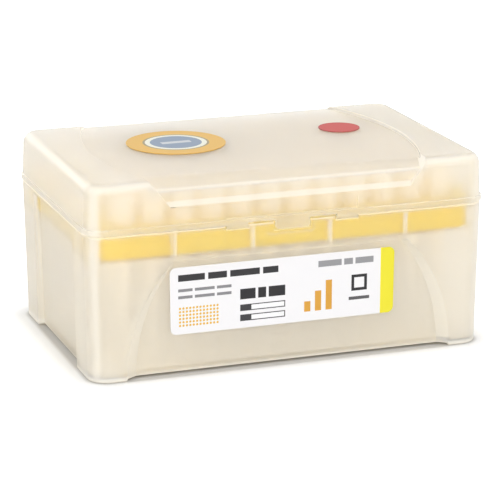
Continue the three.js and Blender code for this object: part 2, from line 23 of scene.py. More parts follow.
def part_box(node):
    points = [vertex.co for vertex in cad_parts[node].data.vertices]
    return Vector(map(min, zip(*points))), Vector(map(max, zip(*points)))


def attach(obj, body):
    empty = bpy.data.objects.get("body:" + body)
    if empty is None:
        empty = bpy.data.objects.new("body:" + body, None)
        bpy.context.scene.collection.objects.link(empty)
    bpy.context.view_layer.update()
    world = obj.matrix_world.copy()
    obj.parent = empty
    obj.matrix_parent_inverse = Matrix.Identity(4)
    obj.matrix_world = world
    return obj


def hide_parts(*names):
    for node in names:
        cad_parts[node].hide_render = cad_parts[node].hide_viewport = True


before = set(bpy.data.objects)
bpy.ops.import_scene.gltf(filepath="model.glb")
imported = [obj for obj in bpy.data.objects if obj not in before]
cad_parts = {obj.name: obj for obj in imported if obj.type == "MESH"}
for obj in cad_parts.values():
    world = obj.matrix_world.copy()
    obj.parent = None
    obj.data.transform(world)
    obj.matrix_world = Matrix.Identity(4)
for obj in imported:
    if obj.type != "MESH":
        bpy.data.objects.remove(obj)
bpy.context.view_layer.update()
MM = 0.001

tray_low, tray_high = (np.array(corner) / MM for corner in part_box("tip_tray"))
print("tray and tips, mm:", tray_low.round(2), "to", tray_high.round(2))

# %% [markdown]
# ## Colours and nodes
#
# Paint and plastic colours are quoted as sRGB hex values, but a shader works with linear light,
# so one function turns the first into the second. The nodes of a material could be placed and
# joined by hand in the shader editor. Here one small function adds any node: it sets the node's
# options, fills its sockets and links those that another node feeds. So a finish reads from top
# to bottom, in the order in which it is worked out.

# %% Colour and node helpers
def linear(hex_colour):
    """The sRGB curve undone for each channel: c/12.92 near black, ((c + 0.055)/1.055)^2.4 above."""
    value = np.array([int(hex_colour[i:i + 2], 16) for i in (1, 3, 5)]) / 255
    low = value / 12.92
    high = ((value + 0.055) / 1.055) ** 2.4
    return (*np.where(value <= 0.04045, low, high), 1.0)


def add_node(tree, kind, sockets=None, **options):
    """Adds a shader node of one kind. Each socket named gets a value, or a link: from the output
    it is given, or from the first output of the node it is given."""
    made = tree.nodes.new("ShaderNode" + kind)
    for name, value in options.items():
        setattr(made, name, value)
    for key, value in (sockets or {}).items():
        source = value.outputs[0] if isinstance(value, bpy.types.Node) else value
        if isinstance(source, bpy.types.NodeSocket):
            tree.links.new(source, made.inputs[key])
        else:
            made.inputs[key].default_value = source
    return made


def new_material(name):
    """An empty node material and the function that adds nodes to it."""
    made = bpy.data.materials.new(name)
    made.use_nodes = True
    made.node_tree.nodes.clear()
    return made, partial(add_node, made.node_tree)


WHITE = linear("#ffffff")
print("mid grey in linear light:", np.round(linear("#808080")[:3], 3))

# %% [markdown]
# ## Surfaces from arrays
#
# A turned or drawn shape is a grid of points: one index runs round or along it, the other
# across. Two helpers are enough. One numbers the four-sided faces of such a grid, and the other
# puts points, given in millimetres, and faces into a mesh.

# %% Grid and mesh helpers
def grid_faces(rows, columns, close_rows=False, close_columns=True):
    """Faces between neighbours of a rows x columns grid of points; a closed way wraps round."""
    i = np.arange(rows if close_rows else rows - 1)[:, None]
    j = np.arange(columns if close_columns else columns - 1)[None, :]
    next_i = (i + 1) % rows
    next_j = (j + 1) % columns
    corners = [i * columns + j, i * columns + next_j, next_i * columns + next_j, next_i * columns + j]
    return np.stack([np.broadcast_to(c, (i.size, j.size)) for c in corners], axis=-1).reshape(-1, 4)


def make_piece(name, points, faces, material, smooth=True, merge=0.0):
    """A mesh object of the points in mm. Points closer than merge become one, faces turn outwards."""
    mesh = bpy.data.meshes.new(name)
    mesh.from_pydata((points.reshape(-1, 3) * MM).tolist(), [], faces.tolist())
    body = bmesh.new()
    body.from_mesh(mesh)
    if merge:
        bmesh.ops.remove_doubles(body, verts=body.verts, dist=merge * MM)
    bmesh.ops.recalc_face_normals(body, faces=body.faces)
    for face in body.faces:
        face.smooth = smooth
    body.to_mesh(mesh)
    body.free()
    mesh.materials.append(material)
    made = bpy.data.objects.new(name, mesh)
    bpy.context.scene.collection.objects.link(made)
    print(name, "has", len(mesh.vertices), "points and", len(mesh.polygons), "faces")
    return made


print("a closed ring of 16 points, drawn out once, has", len(grid_faces(2, 16)), "faces")

# %% [markdown]
# ## Camera
#
# The box stands with its label side turned a little to the right, seen from just above its lid.
# A short lens close by would make its near corner loom. A long lens from 0.76 m keeps the edges
# nearly parallel. Light has to pass many clear walls, so the paths are allowed more bounces than
# usual.

# %% Camera
CAMERA_AZIMUTH = math.radians(-19.525)
CAMERA_ELEVATION = math.radians(15.934)
CAMERA_DISTANCE = 0.75896
CAMERA_LENS = 176.8
SENSOR_WIDTH = 36
LOOK_AT = Vector((0.00082, 0.0, 0.02441))
CLEAR_BOUNCES = 24
DIFFUSE_BOUNCES = 8

view = Vector((
    -math.sin(CAMERA_AZIMUTH) * math.cos(CAMERA_ELEVATION),
    math.cos(CAMERA_AZIMUTH) * math.cos(CAMERA_ELEVATION),
    -math.sin(CAMERA_ELEVATION),
))
bpy.context.scene.cycles.max_bounces = CLEAR_BOUNCES
bpy.context.scene.cycles.diffuse_bounces = DIFFUSE_BOUNCES
bpy.context.scene.cycles.transmission_bounces = CLEAR_BOUNCES
camera_data = bpy.data.cameras.new("camera")
camera_data.lens = CAMERA_LENS
camera_data.sensor_width = SENSOR_WIDTH
camera = bpy.data.objects.new("camera", camera_data)
camera.location = LOOK_AT - view * CAMERA_DISTANCE
camera.rotation_euler = view.to_track_quat("-Z", "Y").to_euler()
bpy.context.scene.collection.objects.link(camera)
bpy.context.scene.camera = camera
print("camera stands at", [round(c, 3) for c in camera.location], "m")

# %% [markdown]
# ## Floor
#
# The box stands on a white paper sheet. Lamps strong enough to turn the sheet white would burn
# out the pale plastic. So the sheet also sends a little light of its own to the camera: it reads
# as white, and still keeps the soft shadow under the box. Close to the feet this glow fades
# out, and a thin line of the sheet is drawn darker there, because hardly any light gets to it.

# %% Floor
FLOOR_SIZE = 12.0         # m
FLOOR_WHITE = "#f2f2f2"
CONTACT_SHADE = "#d0cecb"
CONTACT_REACH = 1.3       # mm from the feet to the sheet's own white
GLOW_REACH = 8.0          # mm from the feet to the full glow
GLOW_FAR = 0.45
GLOW_INSIDE = 0.6         # what is seen through the clear plastic keeps this glow everywhere
FOOT_CORNER = 6.0
FOOT_PLANE = 0.05         # mm; points lower than this belong to the soles of the feet

tub_points = np.array([point.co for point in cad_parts["base"].data.vertices])
foot_half = np.abs(tub_points[tub_points[:, 2] < FOOT_PLANE * MM]).max(axis=0)
foot_core = (foot_half[0] - FOOT_CORNER * MM, foot_half[1] - FOOT_CORNER * MM, 0.0)
print("the feet cover, mm:", (2 * foot_half[:2] / MM).round(2))


def white_floor():
    """Matt white paper with a glow for the camera. Both change with the distance from the feet,
    taken as a rounded rectangle: the length of the part of |place| beyond the rectangle's core,
    less the radius of its corners."""
    material, add = new_material("white_paper_sweep")
    place = add("TexCoord").outputs["Object"]
    beyond = add("VectorMath", {0: place}, operation="ABSOLUTE")
    beyond = add("VectorMath", {0: beyond, 1: foot_core}, operation="SUBTRACT")
    beyond = add("VectorMath", {0: beyond, 1: (0, 0, 0)}, operation="MAXIMUM")
    length = add("VectorMath", {0: beyond}, operation="LENGTH").outputs["Value"]
    away = add("Math", {0: length, 1: FOOT_CORNER * MM}, operation="SUBTRACT")

    contact = add("MapRange", {"Value": away, "From Max": CONTACT_REACH * MM})
    shades = {0: contact, 6: linear(CONTACT_SHADE), 7: linear(FLOOR_WHITE)}
    sheet = add("Mix", shades, data_type="RGBA").outputs[2]
    matt = add("BsdfDiffuse", {"Color": sheet})

    path = add("LightPath").outputs
    open_floor = add("MapRange", {"Value": away, "From Max": GLOW_REACH * MM, "To Max": GLOW_FAR})
    inside = add("Math", {0: path["Is Transmission Ray"], 1: GLOW_INSIDE}, operation="MULTIPLY")
    parts = {0: path["Is Camera Ray"], 1: open_floor, 2: inside}
    glow = add("Math", parts, operation="MULTIPLY_ADD")
    light = add("Emission", {"Color": WHITE, "Strength": glow})
    add("OutputMaterial", {"Surface": add("AddShader", {0: matt, 1: light})})
    return material


half = FLOOR_SIZE / 2 / MM
corners = np.array([(-half, -half, 0), (half, -half, 0), (half, half, 0), (-half, half, 0)])
floor = make_piece("floor", corners, np.array([[0, 1, 2, 3]]), white_floor())

# %% [markdown]
# ## World and lamps
#
# A picture of a studio could surround the box, but its plain walls need only one tone. The world
# shows white to the camera and in reflections, and lights the box more gently. Seven square soft
# lamps do the rest. The two in front are the main ones. Two more, one behind the box and one
# above it, let its edges catch a thin line of light.

# %% World
WORLD_LIGHT = 0.74

world = bpy.data.worlds.new("white_studio")
world.use_nodes = True
world.node_tree.nodes.clear()
add_to_world = partial(add_node, world.node_tree)
path = add_to_world("LightPath").outputs
shown = add_to_world("Math", {0: path["Is Camera Ray"], 1: path["Is Glossy Ray"]}, operation="MAXIMUM")
level = add_to_world("MapRange", {"Value": shown, "To Min": WORLD_LIGHT, "To Max": 1.0})
sky = add_to_world("Background", {"Color": WHITE, "Strength": level})
add_to_world("OutputWorld", {"Surface": sky})
bpy.context.scene.world = world
print("the world shows as 1 and lights as", WORLD_LIGHT)

# %% Lamps
LAMPS = [  # name, place in m, side in m, watts
    ("key_softbox", (-0.75, -0.55, 0.75), 0.7, 1.87),
    ("front_softbox", (0.25, -1.15, 0.45), 0.9, 3.1),
    ("back_softbox", (-0.1, 0.95, 0.6), 0.8, 0.2),
    ("right_softbox", (1.1, 0.2, 0.45), 0.8, 0.1),
    ("left_softbox", (-1.1, 0.0, 0.3), 0.8, 0.6),
    ("left_edge_softbox", (-0.33, 1.09, 0.41), 0.6, 0.9),
    ("front_edge_softbox", (0.35, -0.3, 1.02), 0.7, 1.0),
]

for name, place, side, watts in LAMPS:
    lamp_data = bpy.data.lights.new(name, "AREA")
    lamp_data.size = side
    lamp_data.energy = watts
    lamp = bpy.data.objects.new(name, lamp_data)
    lamp.location = place
    lamp.rotation_euler = (LOOK_AT - lamp.location).to_track_quat("-Z", "Y").to_euler()
    bpy.context.scene.collection.objects.link(lamp)
print(len(LAMPS), "lamps of", round(sum(lamp[3] for lamp in LAMPS), 2), "W look at the box")

# %% [markdown]
# ## Natural polypropylene
#
# The tub and the lid are injection moulded in natural polypropylene. It has no pigment. Its
# crystals scatter light, so a thin wall is milky: what touches it shows through, and what is
# further away blurs out. True scatter inside the wall would need a volume and a very long
# render. So the material is a rough clear plastic with some white scatter in its surface, and
# masks say where it is milkier. Lamps have to reach the inside, so their light passes the wall
# with a warm tint.

# %% Milky places
FLAT_SIDE = 0.985         # largest part of a normal where the side counts as flat
TURNED_SIDE = 0.75        # and where it has fully turned the corner
EDGE_MILK = 0.75
RIB_SPACING = 24.0        # four ribs behind the front wall and four behind the back wall
RIB_HALF = 0.45
RIB_FADE = (1.6, 0.8)     # a line fades in from the first to the second, in half widths
RIB_FACING = 0.9          # only where the wall faces the front or the back
RIB_FOOT = 34.4           # they end at the top of the arched recess
WALL_MILK = 0.34          # the wall below the tray's skirt is drawn milkier, with no change in form
WALL_MILK_TOP = 37.2
WALL_MILK_FADE = 2.0
PLATE_TOP = 0.9           # the tub's bottom plate is drawn milky all through
PLATE_FADE = 1.2


def edge_mask(add, sides):
    """Grows where the surface turns from one main direction to the next, so along edges and
    corners: it follows the largest of |nx|, |ny| and |nz| down from nearly 1."""
    most = add("Math", {0: sides["X"], 1: sides["Y"]}, operation="MAXIMUM")
    most = add("Math", {0: most, 1: sides["Z"]}, operation="MAXIMUM")
    turned = {"Value": most, "From Min": FLAT_SIDE, "From Max": TURNED_SIDE, "To Max": EDGE_MILK}
    return add("MapRange", turned, interpolation_type="SMOOTHSTEP")


def rib_mask(add, sides, place, strength):
    """Upright lines on the front and back walls. The distance from the nearest rib is x, moved by
    half a spacing and folded to and fro at every half spacing."""
    moved = add("Math", {0: place["X"], 1: RIB_SPACING / 2 * MM}, operation="ADD")
    beside = add("Math", {0: moved, 1: RIB_SPACING / 2 * MM}, operation="PINGPONG")
    line = add("MapRange", {
        "Value": beside,
        "From Min": RIB_FADE[0] * RIB_HALF * MM,
        "From Max": RIB_FADE[1] * RIB_HALF * MM,
        "To Max": strength,
    }, interpolation_type="SMOOTHSTEP")
    facing = add("Math", {0: sides["Y"], 1: RIB_FACING}, operation="GREATER_THAN")
    line = add("Math", {0: line, 1: facing}, operation="MULTIPLY")
    above_foot = add("Math", {0: place["Z"], 1: RIB_FOOT * MM}, operation="GREATER_THAN")
    return add("Math", {0: line, 1: above_foot}, operation="MULTIPLY")


def lower_wall_mask(add, place):
    """Grows downwards from WALL_MILK_TOP over WALL_MILK_FADE."""
    return add("MapRange", {
        "Value": place["Z"],
        "From Min": WALL_MILK_TOP * MM,
        "From Max": (WALL_MILK_TOP - WALL_MILK_FADE) * MM,
        "To Max": WALL_MILK,
    }, interpolation_type="SMOOTHSTEP")


def plate_mask(add, place):
    """1 in the bottom plate, falling to 0 over PLATE_FADE above it."""
    return add("MapRange", {
        "Value": place["Z"],
        "From Min": PLATE_TOP * MM,
        "From Max": (PLATE_TOP + PLATE_FADE) * MM,
        "To Min": 1.0,
        "To Max": 0.0,
    })


print("rib lines are", round(2 * RIB_HALF, 2), "mm wide and", RIB_SPACING, "mm apart")

# %% Moulded polypropylene
POLYPROPYLENE_IOR = 1.49
WALL_IOR = 1.35           # matched: lower than the plastic's own, so a thin wall hardly bends the view
NATURAL_COLOUR = "#fcfaf6"
MILKY_COLOUR = "#fbf6ea"
MILKY_CLEAR = 0.1
WALL_TINT = "#fefdf9"     # left of a lamp's light behind a wall
PLATE_TINT = "#4a4540"    # and below the bottom plate
GRAIN_SIZE = 0.714        # mm, drawn coarser than the mould's fine grain, which wouldn't show
GRAIN_HEIGHT = 0.1
RIB_MILK = 0.35


def lit_through(add, wall, tint):
    """Ends a material: it shows the wall, and lets a lamp's light pass with a tint."""
    passing = add("BsdfTransparent", {"Color": tint})
    shadow_ray = add("LightPath").outputs["Is Shadow Ray"]
    add("OutputMaterial", {"Surface": add("MixShader", {0: shadow_ray, 1: wall, 2: passing})})


def moulded_polypropylene(name, clear, haze, roughness, coat, rib_milk):
    """Rough clear plastic, with a share of haze that scatters white light. The largest of the
    masks says how much of the milky plastic takes its place: along edges and corners, at ribs,
    in the lower wall and in the bottom plate. The coat gives the eye a faint gloss."""
    material, add = new_material(name)
    surface = add("TexCoord").outputs
    place = add("SeparateXYZ", {0: surface["Object"]}).outputs
    turned = add("VectorMath", {0: surface["Normal"]}, operation="ABSOLUTE")
    sides = add("SeparateXYZ", {0: turned}).outputs
    plate = plate_mask(add, place)
    milky_share = edge_mask(add, sides)
    for mask in (plate, lower_wall_mask(add, place), rib_mask(add, sides, place, rib_milk)):
        milky_share = add("Math", {0: milky_share, 1: mask}, operation="MAXIMUM")

    grain_scale = 1 / (GRAIN_SIZE * MM)
    grain = add("TexNoise", {"Vector": surface["Object"], "Scale": grain_scale, "Detail": 2.0})
    bump = add("Bump", {"Height": grain, "Strength": 0.05, "Distance": GRAIN_HEIGHT * MM})
    plastic = add("BsdfPrincipled", {
        "Base Color": linear(NATURAL_COLOUR),
        "Roughness": roughness,
        "IOR": WALL_IOR,
        "Coat Weight": coat,
        "Coat Roughness": 0.2,
        "Coat IOR": POLYPROPYLENE_IOR,
        "Transmission Weight": clear,
        "Normal": bump,
    })
    scatter = add("BsdfTranslucent", {"Color": linear(NATURAL_COLOUR)})
    hazy = add("MixShader", {0: haze, 1: plastic, 2: scatter})
    milky = add("BsdfPrincipled", {
        "Base Color": linear(MILKY_COLOUR),
        "Roughness": 0.3,
        "IOR": POLYPROPYLENE_IOR,
        "Transmission Weight": MILKY_CLEAR,
        "Normal": bump,
    })
    wall = add("MixShader", {0: milky_share, 1: hazy, 2: milky})
    tints = {0: plate, 6: linear(WALL_TINT), 7: linear(PLATE_TINT)}
    lit_through(add, wall, add("Mix", tints, data_type="RGBA").outputs[2])
    print(name, "is ready")
    return material


lid_plastic = moulded_polypropylene(
    "natural_polypropylene_lid", clear=0.9, haze=0.18, roughness=0.5, coat=1.0, rib_milk=0.0,
)
tub_plastic = moulded_polypropylene(
    "natural_polypropylene_tub", clear=0.93, haze=0.05, roughness=0.46, coat=0.3, rib_milk=RIB_MILK,
)

# %% [markdown]
# ## Tub and lid
#
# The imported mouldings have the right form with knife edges. A real moulding has small radii
# everywhere, and these catch the light as fine lines. They could be modelled in the solids, but
# there are over two thousand of them. So a copy of each moulding is merged into a sound mesh,
# and a bevel rounds the edges sharper than 30 degrees. Where a step is too small for the radius,
# the bevel would fold the surface over. So the finished faces are compared with the surface
# under them, and the edges at a fold stay sharp. Weighted normals keep the flat faces flat next
# to the new radii.

# %% Finding folds
FOLDED = 0.2              # cosine between a finished face and the surface under it
FOLD_REACH = 1.2          # in edge radii
EDGE_RADIUS = 0.16


def passes_near(points, starts, ends, reach):
    """Which segments pass a point closer than reach: |start + t (end - start) - point|, t in 0..1."""
    along = ends - starts
    length2 = (along ** 2).sum(axis=1)
    share = ((points[:, None] - starts) * along).sum(axis=2) / length2
    nearest = starts + np.clip(share, 0, 1)[..., None] * along
    gap = np.linalg.norm(nearest - points[:, None], axis=2)
    return (gap < reach).any(axis=0)


def folded_corners(made, surface):
    """Corners of the finished faces that look against the unrounded surface under them."""
    graph = bpy.context.evaluated_depsgraph_get()
    finished = made.evaluated_get(graph).to_mesh()
    corners = set()
    for face in finished.polygons:
        normal = surface.find_nearest(face.center)[1]
        if face.area > 0 and face.normal.dot(normal) < FOLDED:
            corners.update(face.vertices)
    spots = np.array([finished.vertices[index].co for index in corners])
    made.evaluated_get(graph).to_mesh_clear()
    return spots


print("edges closer than", round(FOLD_REACH * EDGE_RADIUS, 3), "mm to a fold stay sharp")

# %% Rounding a moulding
WIDEST_RADIUS = 0.9
SHARP_EDGE = math.radians(30)
MERGE_DISTANCE = 0.002
SHORTEST_EDGE = 0.04
ATTEMPTS = 6


def merged_copy(name, node, material):
    """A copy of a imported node's mesh with its loose triangles merged, the surface to compare
    with, and which of its edges are sharp."""
    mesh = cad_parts[node].data.copy()
    mesh.name = name
    mesh.materials.clear()
    mesh.materials.append(material)
    shape = bmesh.new()
    shape.from_mesh(mesh)
    bmesh.ops.remove_doubles(shape, verts=shape.verts, dist=MERGE_DISTANCE * MM)
    bmesh.ops.dissolve_degenerate(shape, edges=shape.edges, dist=SHORTEST_EDGE * MM)
    surface = BVHTree.FromBMesh(shape)
    sharp = np.array([edge.calc_face_angle(0) > SHARP_EDGE for edge in shape.edges])
    shape.edges.layers.float.new("bevel_weight_edge")
    for face in shape.faces:
        face.smooth = True
    shape.to_mesh(mesh)
    shape.free()
    return mesh, surface, sharp


def rounded_moulding(name, node, material, body, own_radii=()):
    """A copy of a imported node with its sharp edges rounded.

    Each entry of own_radii is a box, given by its low and high corner in mm, and the radius that
    the edges with their middle in this box get instead: a larger one, or 0 to stay sharp.
    """
    mesh, surface, sharp = merged_copy(name, node, material)
    made = bpy.data.objects.new(name, mesh)
    bpy.context.scene.collection.objects.link(made)
    bevel = made.modifiers.new("radii", "BEVEL")
    bevel.width = WIDEST_RADIUS * MM
    bevel.segments = 3
    bevel.limit_method = "WEIGHT"
    bevel.use_clamp_overlap = False
    bevel.loop_slide = False
    bevel.miter_outer = "MITER_ARC"

    ends = np.array([[mesh.vertices[index].co for index in edge.vertices] for edge in mesh.edges])
    middle = ends.mean(axis=1) / MM
    radius = np.full(len(ends), EDGE_RADIUS)
    for low, high, own in own_radii:
        radius[((middle > low) & (middle < high)).all(axis=1)] = own
    weight = mesh.attributes["bevel_weight_edge"]
    rounded = sharp & (radius > 0)
    for _ in range(ATTEMPTS):
        weight.data.foreach_set("value", (rounded * radius / WIDEST_RADIUS).astype(np.float32))
        mesh.update()
        spots = folded_corners(made, surface)
        if len(spots) == 0:
            break
        rounded &= ~passes_near(spots, ends[:, 0], ends[:, 1], FOLD_REACH * EDGE_RADIUS * MM)

    mesh.edges.foreach_set("use_edge_sharp", sharp & ~rounded)
    flat = made.modifiers.new("flat_faces_stay_flat", "WEIGHTED_NORMAL")
    flat.keep_sharp = True
    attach(made, body)
    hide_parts(node)
    print(name, "has", rounded.sum(), "of", sharp.sum(), "sharp edges rounded")
    print("  corners still folded:", len(spots))


# %% [markdown]
# ## Edges with a radius of their own
#
# On the real lid the long edge over the snap, and the edges of the top panel, catch the light as
# broader lines, so they are rounder. So are the soles of the feet. The long inner edges of the
# sill under the brow stay sharp. They are seen only through the wall, and a radius there would
# shade the wall below them.

# %% Rounded mouldings
BROW = ((-43, -38.2, 55.8), (43, -37.4, 56.6), WIDEST_RADIUS)
PANEL_EDGE = ((-60, -28, 58.9), (60, 37, 59.1), 0.45)
SILL_EDGE = ((-38, -38.3, 49.5), (38, -36.2, 51.6), 0.0)
FOOT_EDGE = ((-63, -40, -0.1), (63, 40, 0.1), 0.5)

rounded_moulding("tub_moulding", "base", tub_plastic, "tub", [FOOT_EDGE])
lid_edges = [BROW, PANEL_EDGE, SILL_EDGE]
rounded_moulding("lid_moulding", "lid", lid_plastic, "lid", lid_edges)

# %% [markdown]
# ## Tips
#
# A tip is a cone with a wide head that stands on the tray, open from its mouth to its outlet. A
# cone and a cylinder from Blender's menu would be solid and meet in a hard line. Turning a
# closed profile round the axis gives a real wall instead. The same points are then repeated at
# the 96 places of the grid, as one mesh.

# %% Tip profile and the grid of places
PITCH = 9.0
COLUMNS = 12
ROWS = 8
TIP_HEAD = 9.0
TIP_SIDES = 16
TIP_TOP = tray_high[2]
TIP_BOTTOM = tray_low[2]
TRAY_TOP = TIP_TOP - TIP_HEAD

column_x = (np.arange(COLUMNS) - (COLUMNS - 1) / 2) * PITCH
row_y = (np.arange(ROWS) - (ROWS - 1) / 2) * PITCH
places = np.stack(np.meshgrid(column_x, row_y, [0.0], indexing="ij"), axis=-1).reshape(-1, 3)
print(len(places), "places, from", places[0], "to", places[-1])


def turn(profile, sides):
    """Points of a profile of (radius, height) turned round Z: x = r cos a, y = r sin a, z = height."""
    angle = np.arange(sides) / sides * 2 * np.pi
    radius, height = np.array(profile).T
    x = radius[:, None] * np.cos(angle)
    y = radius[:, None] * np.sin(angle)
    return np.stack([x, y, np.broadcast_to(height[:, None], x.shape)], axis=-1)


def repeat_at(points, faces, spots):
    """Copies of one piece at each spot: the points are moved, and the faces' numbers run on."""
    count = points.reshape(-1, 3).shape[0]
    moved = spots[:, None, :] + points.reshape(1, -1, 3)
    numbers = faces[None] + (np.arange(len(spots)) * count)[:, None, None]
    return moved.reshape(-1, 3), numbers.reshape(-1, faces.shape[1])


tip_profile = [
    (0.70, TIP_BOTTOM),
    (2.72, TRAY_TOP - 0.3),
    (2.72, TRAY_TOP + 0.02),
    (3.25, TRAY_TOP + 0.02),
    (3.45, TRAY_TOP + 0.3),
    (3.55, TIP_TOP - 1.2),
    (3.58, TIP_TOP - 0.25),
    (3.40, TIP_TOP),
    (2.85, TIP_TOP),
    (2.60, TIP_TOP - 0.5),
    (2.20, TIP_TOP - 8.0),
    (1.90, TIP_TOP - 14.0),
    (0.35, TIP_BOTTOM),
]

# %% Tips
THIN_IOR = 1.49
TIP_COLOUR = "#f8f3e8"
TIP_TINT = "#f8f6ee"


def thin_polypropylene(name, colour, roughness, tint):
    """A thin moulded wall: half of it turns light back with a satin sheen, and half of it
    scatters light on through the wall, so that its shaded side glows."""
    material, add = new_material(name)
    face = {"Base Color": linear(colour), "Roughness": roughness, "IOR": THIN_IOR}
    front = add("BsdfPrincipled", face)
    through = add("BsdfTranslucent", {"Color": linear(colour)})
    lit_through(add, add("MixShader", {0: 0.5, 1: front, 2: through}), linear(tint))
    return material


tip_plastic = thin_polypropylene("natural_polypropylene_tips", TIP_COLOUR, 0.3, TIP_TINT)
tip_points = turn(tip_profile, TIP_SIDES)
tip_faces = grid_faces(len(tip_profile), TIP_SIDES, close_rows=True)
tips = make_piece("filter_tips", *repeat_at(tip_points, tip_faces, places), tip_plastic)
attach(tips, "tub")
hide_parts("tip_tray")

# %% [markdown]
# ## Filter plugs
#
# Each tip holds a short plug of white sintered polyethylene, pressed 8 mm into its mouth. It is
# a turned profile too, closed at both ends by a point on the axis.

# %% Filter plugs
FILTER_TOP = TIP_TOP - 8.0
BEAD_SIZE = 0.2           # mm
filter_profile = [
    (0.0, FILTER_TOP - 4.0),
    (2.05, FILTER_TOP - 4.0),
    (2.15, FILTER_TOP - 0.2),
    (1.9, FILTER_TOP),
    (0.0, FILTER_TOP + 0.05),
]


def sintered_polyethylene():
    """White beads fused together, which the eye sees as a matt white surface with a fine grain."""
    material, add = new_material("sintered_polyethylene")
    place = add("TexCoord").outputs["Object"]
    beads = add("TexVoronoi", {"Vector": place, "Scale": 1 / (BEAD_SIZE * MM)}).outputs["Distance"]
    bump = add("Bump", {"Height": beads, "Strength": 0.4, "Distance": BEAD_SIZE / 2 * MM})
    body = add("BsdfPrincipled", {"Base Color": linear("#f6f5f1"), "Roughness": 0.9, "Normal": bump})
    add("OutputMaterial", {"Surface": body})
    return material


filter_points = turn(filter_profile, TIP_SIDES)
filter_faces = grid_faces(len(filter_profile), TIP_SIDES)
plug_points, plug_faces = repeat_at(filter_points, filter_faces, places)
plugs = make_piece("filter_plugs", plug_points, plug_faces, sintered_polyethylene(), merge=0.001)
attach(plugs, "tub")
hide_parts("tip_tray")

# %% [markdown]
# ## Tray
#
# The tray is one yellow moulding: a plate with 96 holes and a skirt that rests on a ledge inside
# the tub. Cutting 96 holes with booleans is slow and leaves poor faces. Here each hole's part of
# the plate is rings of points instead, that blend from the hole's circle to the square of its
# grid cell. The skirt is a profile carried round the plate's edge.

# %% Plate
TRAY_PLATE = 1.6
TRAY_WALL = 1.2
PLATE_MARGIN = 0.2
HOLE_RADIUS = 2.85
HOLE_RIM = 0.25
CELL_SIDES = 16
GRID_HALF = np.array([COLUMNS * PITCH / 2, tray_high[1] - TRAY_WALL - PLATE_MARGIN])
PLATE_BOTTOM = TRAY_TOP - TRAY_PLATE


def plate_cells(height):
    """Rings from a hole's circle to its cell's square, at one height, clipped to the plate's middle."""
    angle = np.arange(CELL_SIDES) / CELL_SIDES * 2 * np.pi
    circle = np.stack([np.cos(angle), np.sin(angle)], axis=-1)
    square = circle / np.abs(circle).max(axis=1, keepdims=True)
    rings = np.stack([circle * HOLE_RADIUS, circle * (HOLE_RADIUS + HOLE_RIM), square * PITCH / 2])
    spots = places[:, None, None, :2] + rings[None]
    spots = np.clip(spots, -GRID_HALF, GRID_HALF)
    return np.concatenate([spots, np.full((*spots.shape[:-1], 1), height)], axis=-1)


def rim_loop():
    """The cell corners and edge points that lie on the outline of the plate's middle, in order."""
    step = PITCH / 2 * np.array([-1, -math.tan(math.pi / 8), 0, math.tan(math.pi / 8)])
    along_x = (column_x[:, None] + step).ravel()
    along_y = np.clip((row_y[:, None] + step).ravel(), -GRID_HALF[1], GRID_HALF[1])
    hx, hy = GRID_HALF
    bottom = np.stack([along_x, np.full(along_x.size, -hy)], axis=-1)
    right = np.stack([np.full(along_y.size, hx), along_y], axis=-1)
    return np.concatenate([bottom, right, -bottom, -right])


print("the plate's middle has", len(rim_loop()), "points round it")

# %% Skirt
TRAY_CORNER = 4.5
SKIRT_BOTTOM = 36.42


def outline(loop, inset):
    """The loop stretched to the tray's rounded rectangle, drawn in by inset: a point beyond the
    core rectangle goes to the corner radius from its nearest core point."""
    half_size = tray_high[:2] - inset
    radius = TRAY_CORNER - inset
    stretched = loop * half_size / GRID_HALF
    core = np.clip(stretched, -(half_size - radius), half_size - radius)
    out = stretched - core
    return core + radius * out / np.linalg.norm(out, axis=1, keepdims=True)


def skirt_rings(loop):
    """The tray's edge from the plate's top, over the rounded rim, down the skirt and up inside."""
    profile = [
        (0.40, TRAY_TOP),
        (0.12, TRAY_TOP - 0.12),
        (0.0, TRAY_TOP - 0.4),
        (0.0, SKIRT_BOTTOM + 0.3),
        (0.1, SKIRT_BOTTOM),
        (TRAY_WALL - 0.1, SKIRT_BOTTOM),
        (TRAY_WALL, SKIRT_BOTTOM + 0.3),
        (TRAY_WALL, PLATE_BOTTOM),
    ]
    rings = [np.column_stack([loop, np.full(len(loop), TRAY_TOP)])]
    for inset, height in profile:
        rings.append(np.column_stack([outline(loop, inset), np.full(len(loop), height)]))
    rings.append(np.column_stack([loop, np.full(len(loop), PLATE_BOTTOM)]))
    return np.stack(rings)


print("the skirt hangs", round(TRAY_TOP - SKIRT_BOTTOM, 2), "mm down from the plate's top")

# %% Tray
TRAY_COLOUR = "#f9e800"
TRAY_TINT = "#faf2a8"


def tray_mesh():
    """Top cells, bottom cells, hole walls and the edge, as one set of points and faces."""
    top = plate_cells(TRAY_TOP).reshape(-1, 3)
    bottom = plate_cells(PLATE_BOTTOM).reshape(-1, 3)
    ring = grid_faces(3, CELL_SIDES)
    cell_size = 3 * CELL_SIDES
    cells = (ring[None] + (np.arange(len(places)) * cell_size)[:, None, None]).reshape(-1, 4)
    around = np.arange(CELL_SIDES)
    after = (around + 1) % CELL_SIDES
    wall = np.stack([around, after, after + len(top), around + len(top)], axis=-1)
    walls = (wall[None] + (np.arange(len(places)) * cell_size)[:, None, None]).reshape(-1, 4)
    edge = skirt_rings(rim_loop())
    edge_faces = grid_faces(edge.shape[0], edge.shape[1]) + len(top) + len(bottom)
    points = np.concatenate([top, bottom, edge.reshape(-1, 3)])
    return points, np.concatenate([cells, cells + len(top), walls, edge_faces])


tray_plastic = thin_polypropylene("yellow_polypropylene", TRAY_COLOUR, 0.35, TRAY_TINT)
tray = make_piece("tray", *tray_mesh(), tray_plastic, smooth=False, merge=0.01)
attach(tray, "tub")
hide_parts("tip_tray")

